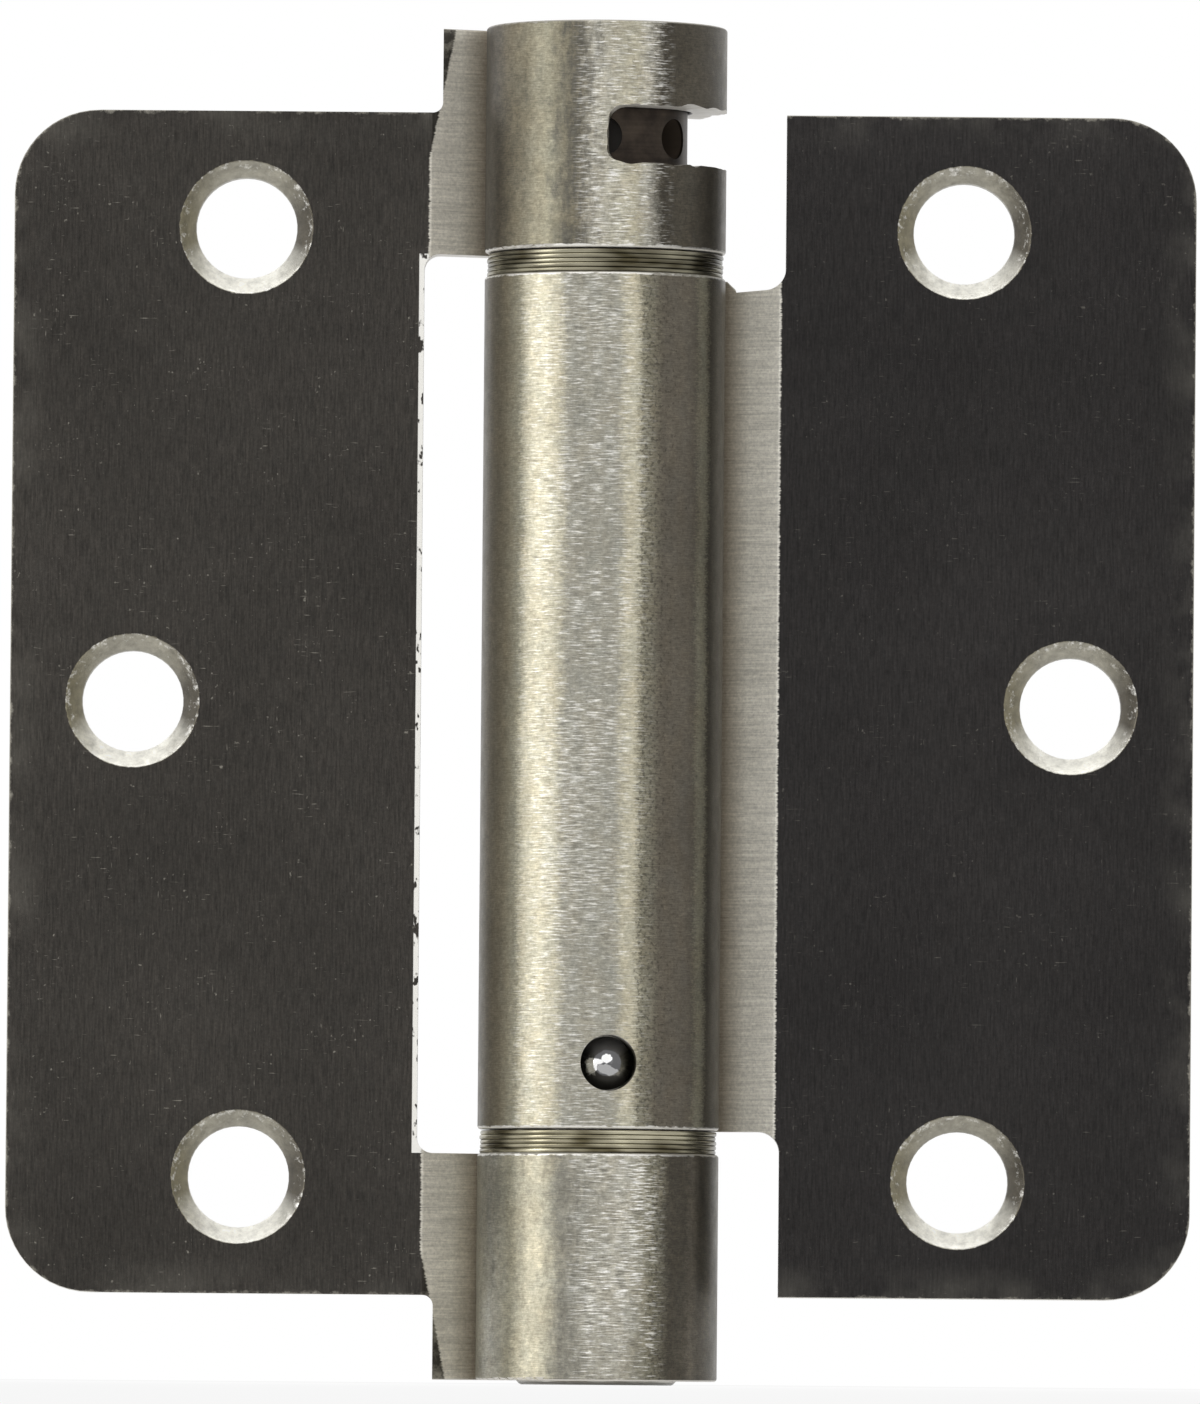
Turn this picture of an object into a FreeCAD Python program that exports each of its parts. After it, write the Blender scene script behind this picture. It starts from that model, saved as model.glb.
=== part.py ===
"""Adjustable spring butt hinge for a door, 3 1/2 by 3 1/2 inches, open flat. All sizes are millimetres.

Two leaves of rolled steel sheet share one barrel. The frame leaf, on the -X side, carries the two outer
knuckles. The door leaf, on the +X side, is rolled into the long centre barrel that holds the torsion spring.
The spring's lower end is held by a pivot plug that a pin fixes to the centre barrel. Its upper end is held by
the tension adjuster, a plug in the top knuckle, whose radial holes show in a window there. Both plugs run on
into the next knuckle through a stack of thin bearing washers, so they are the hinge's pivots too.

The origin is on the barrel's axis at mid height. +Z runs up the barrel, and the countersunk front of both
leaves faces -Y. Angles about the barrel are counted from the front (-Y) towards the door leaf (+X).
"""

import FreeCAD
import Part

import math
import os

from FreeCAD import Vector

# The sheet and the plates of the two leaves
sheet = 2.7
leaf_height = 88.9
leaf_reach = 44.45
corner_radius = 6.35
front_setback = 0.8

# The rolled knuckles
knuckle_diameter = 18.1
barrel_overhang = 6.35
end_knuckle_length = 17.0
seam_gap = 0.5
rim_break = 0.25

# The sheet's slant from plate to knuckle, and the cut-outs beside it, measured from the knuckle's side
slant_width = 4.15
slant_front_radius = 0.8
slant_back_radius = 1.2
notch_width = 4.55
frame_notch_radius = 1.2
door_notch_radius = 1.6
tab_width = 3.25
tab_root_radius = 0.8
door_neck_width = 0.85
door_neck_step = 0.7

# The countersunk screw holes, measured from the leaf's free edge and its ends
screw_hole_diameter = 7.6
countersink_diameter = 10.0
countersink_angle = 82.0
outer_hole_inset = 17.45
middle_hole_inset = 9.2
outer_hole_drop = 8.75

# The bearing washers
washer_count = 5
washer_thickness = 0.34
washer_rim_setback = 0.15
washer_bore_clearance = 0.15
washer_stack_play = 0.1

# The window for the tension pin in the top knuckle
window_drop = 8.5
window_height = 4.3
window_start = 0.2
window_corner_radius = 1.3

# The two plugs
plug_clearance = 0.25
plug_edge = 0.4
spigot_clearance = 0.3
spigot_length = 5.0
tang_clearance = 0.2
adjuster_recess = 0.5
adjuster_depth = 8.0
pivot_head = 3.1
pivot_proud = 0.3
pin_hole_count = 6
pin_hole_diameter = 3.0
pin_hole_depth = 2.8
pin_hole_angle = 57.0
key_across_flats = 5.0
key_depth = 4.5

# The pin that fixes the pivot plug to the barrel
anchor_diameter = 4.0
anchor_hole_clearance = 0.1
anchor_rise = 4.9
anchor_angle = 4.8
anchor_recess = 0.5
anchor_length = 10.0

# The torsion spring
wire = 2.4
coil_clearance = 0.35
turn_gap = 0.2
coil_end_gap = 0.3
tang_bend_radius = 0.3
tang_end_gap = 0.6
join_tolerance = 0.0001

# Worked out from the sizes above
knuckle_radius = knuckle_diameter / 2
bore_radius = knuckle_radius - sheet
past_barrel = knuckle_radius + sheet
plate_top = leaf_height / 2
hinge_top = plate_top + barrel_overhang
knuckle_foot = hinge_top - end_knuckle_length
barrel_top = knuckle_foot - washer_count * washer_thickness - washer_stack_play
slant_start = knuckle_radius + slant_width
notch_edge = knuckle_radius + notch_width
tab_edge = knuckle_radius + tab_width
door_neck = knuckle_radius + door_neck_width
outer_hole_reach = leaf_reach - outer_hole_inset
middle_hole_reach = leaf_reach - middle_hole_inset
outer_hole_height = plate_top - outer_hole_drop
window_centre = hinge_top - window_drop
plug_radius = bore_radius - plug_clearance
anchor_height = anchor_rise - barrel_top
adjuster_shoulder = barrel_top - adjuster_depth
pivot_shoulder = anchor_height + anchor_diameter / 2 + pivot_head
coil_radius = bore_radius - coil_clearance - wire / 2
coil_inside = coil_radius - wire / 2
spigot_radius = coil_inside - spigot_clearance
coil_foot = pivot_shoulder + coil_end_gap + wire / 2
coil_top = adjuster_shoulder - coil_end_gap - wire / 2
# A whole number of half turns brings both tangs into the line of their slots.
half_turns = math.floor(2 * (coil_top - coil_foot) / (wire + turn_gap))


def flat(x, y):
    """A point of a plan section, seen along the barrel."""
    return Vector(x, y, 0)


def upright(x, z):
    """A point of an outline, seen from the front."""
    return Vector(x, 0, z)


def around(radius, angle, z=0.0):
    """A point about the barrel's axis, its angle in degrees from the front towards the door leaf."""
    turn = math.radians(angle)
    return Vector(radius * math.sin(turn), -radius * math.cos(turn), z)


def rounded_run(corners, place):
    """The edges along a run of corners (first, second, radius), each rounded with its own radius."""
    edges = []
    start = place(*corners[0][:2])
    for before, corner, after in zip(corners, corners[1:], corners[2:]):
        point = place(*corner[:2])
        radius = corner[2]
        if radius == 0:
            edges.append(Part.makeLine(start, point))
            start = point
            continue
        back = (place(*before[:2]) - point).normalize()
        ahead = (place(*after[:2]) - point).normalize()
        half_angle = back.getAngle(ahead) / 2
        leg = radius / math.tan(half_angle)
        middle = (back + ahead).normalize()
        nearest = point + middle * (radius / math.sin(half_angle) - radius)
        arc_start = point + back * leg
        arc_end = point + ahead * leg
        edges.append(Part.makeLine(start, arc_start))
        edges.append(Part.Arc(arc_start, nearest, arc_end).toShape())
        start = arc_end
    edges.append(Part.makeLine(start, place(*corners[-1][:2])))
    return edges


def sheet_section(side):
    """The plan section of a leaf: its plate, the slant behind the barrel and the rolled knuckle.

    side is 1 for the door leaf, at +X, and -1 for the frame leaf.
    """
    # The slant's inner face starts at the plate's front face and ends tangent to the bore.
    to_start = math.hypot(slant_start, front_setback)
    slant = math.asin(bore_radius / to_start) - math.atan2(front_setback, slant_start)
    sin_slant = math.sin(slant)
    cos_slant = math.cos(slant)
    plate_back = front_setback + sheet
    back_start = (knuckle_radius - plate_back * cos_slant) / sin_slant
    # The curl stops short of the slant's inner face by the seam gap.
    seam = math.pi / 2 - slant - math.acos((bore_radius - seam_gap) / knuckle_radius)

    def at(x, y):
        return flat(side * x, y)

    def on_circle(radius, angle):
        return at(radius * math.cos(angle), radius * math.sin(angle))

    inner_tangent = (bore_radius * sin_slant, bore_radius * cos_slant)
    outer_tangent = (knuckle_radius * sin_slant, knuckle_radius * cos_slant)
    tangent_angle = math.pi / 2 - slant
    curl_end = seam + 2 * math.pi
    curl_middle = (tangent_angle + curl_end) / 2
    plate = rounded_run(
        [
            (*outer_tangent, 0),
            (back_start, plate_back, slant_back_radius),
            (leaf_reach, plate_back, 0),
            (leaf_reach, front_setback, 0),
            (slant_start, front_setback, slant_front_radius),
            (*inner_tangent, 0),
        ],
        at,
    )
    inner_curl = Part.Arc(
        at(*inner_tangent),
        on_circle(bore_radius, curl_middle),
        on_circle(bore_radius, curl_end),
    )
    curl_lip = Part.makeLine(on_circle(bore_radius, curl_end), on_circle(knuckle_radius, curl_end))
    outer_curl = Part.Arc(
        on_circle(knuckle_radius, curl_end),
        on_circle(knuckle_radius, curl_middle),
        at(*outer_tangent),
    )
    return Part.Face(Part.Wire([*plate, inner_curl.toShape(), curl_lip, outer_curl.toShape()]))


def rolled_leaf(side, outline):
    """The rolled sheet of one side, trimmed to an outline of (distance from the axis, height, radius)."""

    def place(reach, height):
        return upright(side * reach, height)

    rolled = sheet_section(side).extrude(Vector(0, 0, 2 * hinge_top))
    rolled.translate(Vector(0, 0, -hinge_top))
    blank = Part.Face(Part.Wire(rounded_run(outline, place)))
    trim = blank.extrude(Vector(0, 2 * past_barrel, 0))
    trim.translate(Vector(0, -past_barrel, 0))
    return rolled.common(trim)


def screw_hole(x, z):
    """A countersunk hole through a plate, opening to the front."""
    hole_radius = screw_hole_diameter / 2
    sink_radius = countersink_diameter / 2
    sink_depth = (sink_radius - hole_radius) / math.tan(math.radians(countersink_angle / 2))
    front = Vector(x, front_setback, z)
    through = Part.makeCylinder(hole_radius, sheet, front, Vector(0, 1, 0))
    sink = Part.makeCone(sink_radius, hole_radius, sink_depth, front, Vector(0, 1, 0))
    return through.fuse(sink)


def with_screw_holes(leaf, side):
    """The leaf with its three screw holes."""
    spots = [
        (outer_hole_reach, outer_hole_height),
        (middle_hole_reach, 0.0),
        (outer_hole_reach, -outer_hole_height),
    ]
    return leaf.cut([screw_hole(side * reach, height) for reach, height in spots])


def with_rims_broken(leaf, heights):
    """The leaf with the outer rim of its knuckles slightly rounded at each height."""
    rims = []
    for edge in leaf.Edges:
        circle = edge.Curve
        if not isinstance(circle, Part.Circle) or abs(circle.Radius - knuckle_radius) > 0.01:
            continue
        if any(abs(circle.Center.z - height) < 0.01 for height in heights):
            rims.append(edge)
    return leaf.makeFillet(min(rim_break, sheet / 4), rims)


def pin_window():
    """The tool that cuts the window in the top knuckle, from the front round to the back."""
    low = window_centre - window_height / 2
    high = window_centre + window_height / 2
    mouth = Part.Face(
        Part.Wire(
            rounded_run(
                [
                    (past_barrel, low, 0),
                    (window_start, low, window_corner_radius),
                    (window_start, high, window_corner_radius),
                    (past_barrel, high, 0),
                    (past_barrel, low, 0),
                ],
                upright,
            )
        )
    )
    tool = mouth.extrude(Vector(0, 2 * past_barrel, 0))
    tool.translate(Vector(0, -past_barrel, 0))
    return tool


def frame_leaf():
    """The leaf with the two outer knuckles, and the window in the top one."""
    outline = [
        (leaf_reach, 0, 0),
        (leaf_reach, plate_top, corner_radius),
        (tab_edge, plate_top, tab_root_radius),
        (tab_edge, hinge_top, 0),
        (-past_barrel, hinge_top, 0),
        (-past_barrel, knuckle_foot, 0),
        (notch_edge, knuckle_foot, frame_notch_radius),
        (notch_edge, -knuckle_foot, frame_notch_radius),
        (-past_barrel, -knuckle_foot, 0),
        (-past_barrel, -hinge_top, 0),
        (tab_edge, -hinge_top, 0),
        (tab_edge, -plate_top, tab_root_radius),
        (leaf_reach, -plate_top, corner_radius),
        (leaf_reach, 0, 0),
    ]
    leaf = rolled_leaf(-1, outline)
    leaf = with_rims_broken(leaf, [hinge_top, knuckle_foot, -knuckle_foot, -hinge_top])
    leaf = leaf.cut(pin_window())
    return with_screw_holes(leaf, -1)


def anchor_bar(radius, start, length):
    """A bar along the anchor pin's axis, from a distance from the barrel's axis inwards."""
    inwards = around(-1, anchor_angle)
    return Part.makeCylinder(radius, length, around(start, anchor_angle, anchor_height), inwards)


def door_leaf():
    """The leaf that is rolled into the centre barrel, with the hole for the anchor pin."""
    outline = [
        (leaf_reach, 0, 0),
        (leaf_reach, plate_top, corner_radius),
        (notch_edge, plate_top, 0),
        (notch_edge, barrel_top - door_neck_step, door_notch_radius),
        (door_neck, barrel_top - door_neck_step, 0),
        (door_neck - door_neck_step, barrel_top, 0),
        (-past_barrel, barrel_top, 0),
        (-past_barrel, -barrel_top, 0),
        (notch_edge, -barrel_top, door_notch_radius),
        (notch_edge, -plate_top, 0),
        (leaf_reach, -plate_top, corner_radius),
        (leaf_reach, 0, 0),
    ]
    leaf = rolled_leaf(1, outline)
    leaf = with_rims_broken(leaf, [barrel_top, -barrel_top])
    anchor_hole_radius = anchor_diameter / 2 + anchor_hole_clearance
    leaf = leaf.cut(anchor_bar(anchor_hole_radius, past_barrel, past_barrel))
    return with_screw_holes(leaf, 1)


def slotted_spigot(shoulder, direction):
    """The slotted nose of a plug, which reaches into the coil and holds the spring's tang."""
    base = Vector(0, 0, shoulder)
    axis = Vector(0, 0, direction)
    spigot = Part.makeCylinder(spigot_radius, spigot_length, base, axis)
    slot_width = wire + 2 * tang_clearance
    slot = Part.makeBox(2 * spigot_radius, slot_width, spigot_length)
    slot_foot = min(shoulder, shoulder + direction * spigot_length)
    slot.translate(Vector(-spigot_radius, -slot_width / 2, slot_foot))
    return spigot.cut(slot)


def plug_body(foot, top, edge_foot, edge_top):
    """A turned plug between two heights, with a bevel at each end that shows."""
    half = [
        (0, foot),
        (plug_radius - edge_foot, foot),
        (plug_radius, foot + edge_foot),
        (plug_radius, top - edge_top),
        (plug_radius - edge_top, top),
        (0, top),
    ]
    profile = Part.makePolygon([upright(*point) for point in [*half, half[0]]])
    return Part.Face(profile).revolve(Vector(0, 0, 0), Vector(0, 0, 1), 360)


def tension_adjuster():
    """The plug in the top knuckle: a key socket on top, radial pin holes, and the slotted spigot below."""
    top = hinge_top - adjuster_recess
    body = plug_body(adjuster_shoulder, top, plug_edge, plug_edge)
    key_radius = key_across_flats / math.sqrt(3)
    key_corners = [around(key_radius, 60 * side, top - key_depth) for side in range(7)]
    key_socket = Part.Face(Part.makePolygon(key_corners)).extrude(Vector(0, 0, key_depth))
    pin_holes = []
    for index in range(pin_hole_count):
        angle = pin_hole_angle + index * 360 / pin_hole_count
        pin_holes.append(
            Part.makeCylinder(
                pin_hole_diameter / 2,
                pin_hole_depth,
                around(plug_radius, angle, window_centre),
                around(-1, angle),
            )
        )
    return body.cut([key_socket, *pin_holes]).fuse(slotted_spigot(adjuster_shoulder, -1))


def pivot_plug():
    """The plug in the bottom knuckle, drilled for the anchor pin, with the slotted spigot on top."""
    body = plug_body(-hinge_top - pivot_proud, pivot_shoulder, plug_edge, plug_edge)
    body = body.cut(anchor_bar(anchor_diameter / 2, past_barrel, past_barrel - anchor_tail()))
    return body.fuse(slotted_spigot(pivot_shoulder, 1))


def anchor_tail():
    """How far from the barrel's axis the anchor pin's inner end lies, below 0 on the far side."""
    return knuckle_radius - anchor_recess - anchor_length


def anchor_pin():
    """The drive pin through the barrel's wall into the pivot plug, its outer end a polished dome."""
    radius = anchor_diameter / 2
    nose = knuckle_radius - anchor_recess - radius
    shank = anchor_bar(radius, nose, nose - anchor_tail())
    dome = Part.makeSphere(radius, around(nose, anchor_angle, anchor_height))
    return shank.fuse(dome).removeSplitter()


def washer(foot):
    """One bearing washer, which runs loosely round a plug."""
    base = Vector(0, 0, foot)
    disc = Part.makeCylinder(knuckle_radius - washer_rim_setback, washer_thickness, base)
    hole = Part.makeCylinder(plug_radius + washer_bore_clearance, washer_thickness, base)
    return disc.cut(hole)


def spring_tang(bend_centre, bend_angle):
    """The wire's straight end across the axis, and its bend out to the coil, centred on height 0.

    bend_centre is how far out the bend's centre lies, and bend_angle is where the bend meets the coil.
    """
    half_wire = wire / 2
    outwards = flat(math.cos(bend_angle), math.sin(bend_angle))
    centre = bend_centre * outwards
    tang_end = tang_end_gap - coil_inside

    def side_of_bend(radius):
        ends = [centre - flat(0, radius), centre + radius * outwards]
        middle_angle = (bend_angle - math.pi / 2) / 2
        middle = centre + radius * flat(math.cos(middle_angle), math.sin(middle_angle))
        return ends, Part.Arc(ends[0], middle, ends[1]).toShape()

    inner_ends, inner_bend = side_of_bend(tang_bend_radius)
    outer_ends, outer_bend = side_of_bend(tang_bend_radius + wire)
    outline = [
        inner_bend,
        Part.makeLine(inner_ends[1], outer_ends[1]),
        outer_bend,
        Part.makeLine(outer_ends[0], flat(tang_end, -half_wire)),
        Part.makeLine(flat(tang_end, -half_wire), flat(tang_end, half_wire)),
        Part.makeLine(flat(tang_end, half_wire), inner_ends[0]),
    ]
    section = Part.Face(Part.Wire(outline))
    section.translate(Vector(0, 0, -half_wire))
    return section.extrude(Vector(0, 0, wire))


def torsion_spring():
    """The spring of square wire, wound so that the adjuster winds it up, with a tang across each end."""
    up = Vector(0, 0, 1)
    origin = Vector(0, 0, 0)
    half_wire = wire / 2
    bend_centre = coil_inside - tang_bend_radius
    bend_angle = math.asin((tang_bend_radius + half_wire) / bend_centre)
    stretch = 180 - 2 * math.degrees(bend_angle) / half_turns
    rise = (coil_top - coil_foot) / half_turns
    path = Part.Wire(Part.makeHelix(rise * 360 / stretch, rise, coil_radius).Edges)
    square = Part.makePolygon(
        [
            upright(coil_inside, -half_wire),
            upright(coil_inside + wire, -half_wire),
            upright(coil_inside + wire, half_wire),
            upright(coil_inside, half_wire),
            upright(coil_inside, -half_wire),
        ]
    )
    half_turn = path.makePipeShell([square], True, True)
    coil = []
    for index in range(half_turns):
        piece = half_turn.copy()
        piece.rotate(origin, up, math.degrees(bend_angle) + index * stretch)
        piece.translate(index * rise * up)
        coil.append(piece)
    lower_tang = spring_tang(bend_centre, bend_angle)
    upper_tang = lower_tang.copy()
    upper_tang.rotate(origin, Vector(1, 0, 0), 180)
    upper_tang.rotate(origin, up, 180 * half_turns)
    upper_tang.translate((coil_top - coil_foot) * up)
    spring = lower_tang.multiFuse([*coil, upper_tang], join_tolerance)
    spring = spring.mirror(origin, Vector(0, 1, 0))
    spring.translate(coil_foot * up)
    return spring


def all_pieces():
    """Each piece of the hinge by name."""
    pieces = {
        "frame_leaf": frame_leaf(),
        "door_leaf": door_leaf(),
        "tension_adjuster": tension_adjuster(),
        "pivot_plug": pivot_plug(),
        "anchor_pin": anchor_pin(),
        "torsion_spring": torsion_spring(),
    }
    for index in range(washer_count):
        rise = index * washer_thickness
        pieces[f"upper_washer_{index + 1}"] = washer(barrel_top + rise)
        pieces[f"lower_washer_{index + 1}"] = washer(rise - knuckle_foot)
    return pieces


os.makedirs("parts", exist_ok=True)
for name, piece in all_pieces().items():
    print(f"{name}: {len(piece.Solids)} solid, {piece.Volume:.1f} mm3, valid {piece.isValid()}")
    piece.exportStep(f"parts/{name}.step")
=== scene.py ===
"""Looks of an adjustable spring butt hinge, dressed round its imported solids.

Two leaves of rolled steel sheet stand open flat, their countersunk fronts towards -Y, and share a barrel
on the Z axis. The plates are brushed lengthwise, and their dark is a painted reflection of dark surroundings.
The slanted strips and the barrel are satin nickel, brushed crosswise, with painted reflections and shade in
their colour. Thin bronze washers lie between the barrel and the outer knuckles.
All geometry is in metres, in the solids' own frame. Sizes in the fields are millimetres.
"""

import logging
import math
from dataclasses import dataclass
from enum import Enum
from functools import partial

import bmesh
import bpy
from bmesh.types import BMEdge, BMesh, BMVert
from bpy.types import Material, Node, NodeSocket, NodeTree, Object
from mathutils import Matrix, Vector, noise

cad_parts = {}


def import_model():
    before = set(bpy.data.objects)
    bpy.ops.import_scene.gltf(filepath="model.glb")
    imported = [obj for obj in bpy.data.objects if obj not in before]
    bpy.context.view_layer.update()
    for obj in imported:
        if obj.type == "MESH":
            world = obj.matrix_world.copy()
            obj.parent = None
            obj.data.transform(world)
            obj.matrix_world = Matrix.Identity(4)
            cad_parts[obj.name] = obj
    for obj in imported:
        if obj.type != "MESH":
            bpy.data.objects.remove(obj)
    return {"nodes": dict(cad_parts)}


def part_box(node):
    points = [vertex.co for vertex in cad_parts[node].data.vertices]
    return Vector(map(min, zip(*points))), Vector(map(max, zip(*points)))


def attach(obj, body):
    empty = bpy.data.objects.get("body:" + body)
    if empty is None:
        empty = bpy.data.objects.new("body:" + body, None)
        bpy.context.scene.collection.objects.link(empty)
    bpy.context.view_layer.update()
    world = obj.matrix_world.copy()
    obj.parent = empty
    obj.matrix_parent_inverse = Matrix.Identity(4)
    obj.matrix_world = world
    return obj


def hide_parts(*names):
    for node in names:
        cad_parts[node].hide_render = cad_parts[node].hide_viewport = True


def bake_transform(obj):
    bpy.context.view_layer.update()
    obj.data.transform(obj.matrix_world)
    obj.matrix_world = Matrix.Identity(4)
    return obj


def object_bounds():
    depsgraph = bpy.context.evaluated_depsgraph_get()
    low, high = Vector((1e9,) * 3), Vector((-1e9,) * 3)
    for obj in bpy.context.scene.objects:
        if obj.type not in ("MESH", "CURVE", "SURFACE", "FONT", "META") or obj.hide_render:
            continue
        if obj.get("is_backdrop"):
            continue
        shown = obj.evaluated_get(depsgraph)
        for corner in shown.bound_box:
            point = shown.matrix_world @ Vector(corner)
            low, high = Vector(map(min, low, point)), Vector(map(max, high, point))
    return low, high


LOG = logging.getLogger("hinge")
MM = 0.001
PHOTO_LONG_SIDE = 1404
# Two points of a mesh that are closer than this, in metres, are one.
SAME_POINT = 0.0005 * MM
# A point that is closer than this, in metres, to a cutting plane lies on it.
ON_PLANE = 1e-8
# Nearly all of a noise lies between these two values.
NOISE_SPAN = (0.3, 0.7)
MULTIPLIED = {"data_type": "RGBA", "blend_type": "MULTIPLY"}


class Tone(Enum):
    """The few colours of the barrel's painted reflection and shade bands, as sRGB hex."""

    CREAM = "bdb7a1"
    SILVER = "b6b2a4"
    GREY = "a19e91"
    PEWTER = "85816f"
    OLIVE = "7b7462"
    UMBER = "5f594e"
    SHADOW = "4a453b"


Bands = tuple[tuple[float, Tone], ...]


def linear(colour: str) -> tuple[float, float, float, float]:
    """Turns an sRGB hex colour to linear.

    Args:
        colour: Six hex digits.

    Returns:
        The linear red, green and blue, with an alpha of 1.
    """
    channels = [int(colour[i : i + 2], 16) / 255 for i in (0, 2, 4)]
    curve = [c / 12.92 if c <= 0.04045 else ((c + 0.055) / 1.055) ** 2.4 for c in channels]
    return (*curve, 1.0)


def add_node(
    tree: NodeTree, kind: str, *values: object, named: dict[str, object] | None = None, **settings: object
) -> Node:
    """Adds a shader node with its settings, values and links.

    Args:
        tree: The node tree that takes the node.
        kind: The node's type, without its ShaderNode prefix.
        *values: What its usable inputs get, in their order. A node or socket is linked, and None skips.
        named: What inputs get by name.
        **settings: Properties of the node.

    Returns:
        The new node.
    """
    node = tree.nodes.new("ShaderNode" + kind)
    for name, setting in settings.items():
        setattr(node, name, setting)
    usable = [socket for socket in node.inputs if socket.enabled]
    pairs = list(zip(usable, values))
    pairs += [(node.inputs[name], value) for name, value in (named or {}).items()]
    for socket, value in pairs:
        if isinstance(value, Node):
            value = next(output for output in value.outputs if output.enabled)
        if isinstance(value, NodeSocket):
            tree.links.new(value, socket)
        elif value is not None:
            socket.default_value = value
    return node


class Canvas:
    """A new material, with the coordinates of its patterns, in millimetres of the hinge's frame.

    Attributes:
        material: The Blender material.
        tree: Its node tree.
        node: Adds a node to the tree.
        place: The point.
        x, y, z: The point's coordinates.
        reach: Distance from the plane through the barrel's axis that is square to the leaves.
        height: Distance from the hinge's mid height.
        radius: Distance from the barrel's axis.
        angle: Angle about the barrel's axis in radians, 0 at the front and growing towards +X.
        facing: The surface's direction.
    """

    def __init__(self, name: str) -> None:
        """Starts the material.

        Args:
            name: What the real finish is called.
        """
        self.material = bpy.data.materials.new(name)
        self.material.use_nodes = True
        self.tree = self.material.node_tree
        self.tree.nodes.clear()
        self.node = partial(add_node, self.tree)
        node = self.node
        coords = node("TexCoord")
        self.place = node("VectorMath", coords.outputs["Object"], 1 / MM, operation="SCALE")
        self.facing = coords.outputs["Normal"]
        self.x, self.y, self.z = node("SeparateXYZ", self.place).outputs
        self.reach = node("Math", self.x, operation="ABSOLUTE")
        self.height = node("Math", self.z, operation="ABSOLUTE")
        across = node("VectorMath", self.place, (1.0, 1.0, 0.0), operation="MULTIPLY")
        self.radius = node("VectorMath", across, operation="LENGTH")
        ahead = node("Math", self.y, -1.0, operation="MULTIPLY")
        self.angle = node("Math", self.x, ahead, operation="ARCTAN2")

    def stretched(self, x: float, y: float, z: float) -> Node:
        """The point with each coordinate divided by a pattern's size in millimetres."""
        return self.node("VectorMath", self.place, (1 / x, 1 / y, 1 / z), operation="MULTIPLY")

    def unrolled(self, along: float, across: float, radius: float) -> Node:
        """The point on the barrel rolled out flat, divided by a pattern's sizes.

        Args:
            along: The pattern's length round the barrel.
            across: Its height.
            radius: The barrel's radius.

        Returns:
            The point.
        """
        node = self.node
        arc = node("Math", self.angle, radius / along, operation="MULTIPLY")
        rise = node("Math", self.z, 1 / across, operation="MULTIPLY")
        return node("CombineXYZ", arc, 0.0, rise)

    def degrees_past(self, start: float) -> Node:
        """How far the point is past an angle about the barrel, in degrees."""
        return self.node("Math", self.angle, math.degrees(1.0), -start, operation="MULTIPLY_ADD")

    def degrees_from(self, middle: float) -> Node:
        """How far the point is from an angle about the barrel, on either side, in degrees."""
        return self.node("Math", self.degrees_past(middle), operation="ABSOLUTE")

    def varied(
        self, at: Node, size: float, low: float, high: float, detail: float, rough: float = 0.5
    ) -> Node:
        """A factor between two values, moved by a noise of a size in the coordinates that it is drawn on."""
        cloud = self.node("TexNoise", at, 1 / size, detail, rough)
        return self.node("MapRange", cloud, *NOISE_SPAN, low, high)

    def finish(
        self, metallic: float | Node, colour: Node, roughness: float | Node, bump: Node, step: float
    ) -> Material:
        """Ends the material in a metal surface.

        Args:
            metallic: Share of bare metal, a number or a node.
            colour: The colour's node.
            roughness: Roughness, a number or a node.
            bump: The height of the surface's marks, about 0 to 1.
            step: How high 1 is, in millimetres.

        Returns:
            The finished material.
        """
        node = self.node
        relief = node("Bump", named={"Distance": step * MM, "Height": bump})
        surface = {"Base Color": colour, "Metallic": metallic, "Roughness": roughness, "Normal": relief}
        shader = node("BsdfPrincipled", named=surface)
        node("OutputMaterial", shader)
        return self.material


@dataclass(frozen=True)
class Grain:
    """Brush marks left by an abrasive belt, as a stretched noise.

    Real marks lie 0.02 to 0.05 mm apart. A pixel of the render is 0.1 mm, so they are drawn two or three
    times as coarse, to be seen as a fine grain.

    Attributes:
        across: Spacing of the marks in millimetres.
        along: Length of the marks in millimetres.
        depth: How far the marks lighten or darken the metal, as a share of its colour.
    """

    across: float
    along: float
    depth: float


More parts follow.
